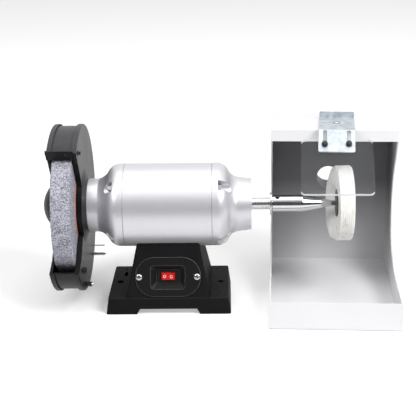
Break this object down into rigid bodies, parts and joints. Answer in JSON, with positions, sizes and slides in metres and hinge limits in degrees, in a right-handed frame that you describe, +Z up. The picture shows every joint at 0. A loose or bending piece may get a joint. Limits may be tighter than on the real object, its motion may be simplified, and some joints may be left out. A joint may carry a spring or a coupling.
{
  "type": "dental polishing lathe",
  "caption": "Bench lathe with a guarded grinding wheel on one shaft end, a cotton buff on a tapered mandrel on the other, and a white dust hood with a clear shield.",
  "frame": {"origin": "on the bench, in the middle between the two main anchor holes of the base", "axes": "+X along the shaft towards the buff, +Y to the back, +Z up"},
  "size_m": [0.3832, 0.2305, 0.1943],
  "materials": {
    "pedestal_paint": "fine black crinkle paint on a casting",
    "guard_paint": "black semi-gloss paint on sheet steel",
    "motor_paint": "smooth silver metallic paint",
    "hood_paint": "white powder coat on sheet steel",
    "zinc_sheet": "zinc coated sheet with soft spangle",
    "machined_steel": "turned bright steel",
    "polished_steel": "ground and polished steel",
    "plated_screws": "bright plated",
    "black_screws": "black oxide",
    "zinc_plate": "plain zinc plated steel",
    "core_steel": "stacked electrical steel",
    "copper_windings": "lacquered copper wire, bound",
    "aluminium_can": "drawn aluminium can",
    "black_plastic": "moulded black plastic",
    "switch_black": "glossy black plastic",
    "rocker_red": "glossy red plastic with small white marks",
    "terminal_plastic": "pale moulded plastic",
    "foot_rubber": "soft black rubber",
    "abrasive": "grey bonded abrasive grain",
    "label_paper": "orange-red blotting paper",
    "cotton": "layered cotton cloth",
    "hub_metal": "dark hub discs",
    "clear_sheet": "clear acrylic"
  },
  "bodies": {
    "lathe": {"pedestal_foot": "pedestal_paint", "pedestal": "pedestal_paint", "bottom_plate": "zinc_plate", "bottom_plate_screws": "plated_screws", "rubber_pads": "foot_rubber", "saddle_bolts": "zinc_plate", "capacitor": "aluminium_can", "capacitor_clamp": "zinc_plate", "terminal_block": "terminal_plastic", "cord_gland": "black_plastic", "gland_nut": "black_plastic", "switch_plate": "black_plastic", "switch_plate_screws": "plated_screws", "switch_housing": "switch_black", "motor_shell": "motor_paint", "end_bell_left": "motor_paint", "end_bell_right": "motor_paint", "tie_bolts": "zinc_plate", "tie_nuts": "zinc_plate", "stator_core": "core_steel", "stator_windings": "copper_windings", "bearing_outer_rings": "machined_steel", "bearing_seals": "foot_rubber", "guard_inner_plate": "guard_paint", "guard_band": "guard_paint", "guard_cover": "guard_paint", "guard_mounting_screws": "black_screws", "guard_cover_bolts": "zinc_plate", "guard_knob": "black_screws", "guard_plate_screw": "black_screws", "spark_guard": "guard_paint", "spark_guard_screws": "black_screws"},
    "rocker": {"switch_rocker": "rocker_red"},
    "spindle": {"shaft": "machined_steel", "rotor_core": "core_steel", "bearing_inner_rings": "machined_steel", "wheel_flange_inner": "machined_steel", "wheel_flange_outer": "machined_steel", "wheel_nut": "zinc_plate", "grinding_wheel": "abrasive", "wheel_labels": "label_paper", "mandrel_washer": "machined_steel", "mandrel": "polished_steel", "mandrel_set_screw": "black_screws", "buff_hub": "hub_metal", "buff": "cotton"},
    "hood": {"hood_wrap": "hood_paint", "hood_side_left": "hood_paint", "hood_side_right": "hood_paint", "suction_port": "hood_paint", "shield_bracket": "zinc_sheet", "bracket_screw": "plated_screws", "bracket_nut": "zinc_plate"},
    "shield": {"shield": "clear_sheet", "shield_screws": "black_screws", "shield_nuts": "zinc_plate"}
  },
  "joints": [
    {"name": "spindle_spin", "type": "hinge", "parent": "lathe", "child": "spindle", "pos_m": [0, 0, 0.10755], "axis": [1, 0, 0], "continuous": true},
    {"name": "rocker_tilt", "type": "hinge", "parent": "lathe", "child": "rocker", "pos_m": [0, -0.03369, 0.03893], "axis": [0, 0.2785, 0.9604], "range_deg": [0, 16]},
    {"name": "hood_slide", "type": "slide", "parent": "lathe", "child": "hood", "axis": [1, 0, 0], "range_m": [0, 0.15]},
    {"name": "shield_slide", "type": "slide", "parent": "hood", "child": "shield", "axis": [0.081, 0.8441, 0.53], "range_m": [0, 0.006]}
  ]
}
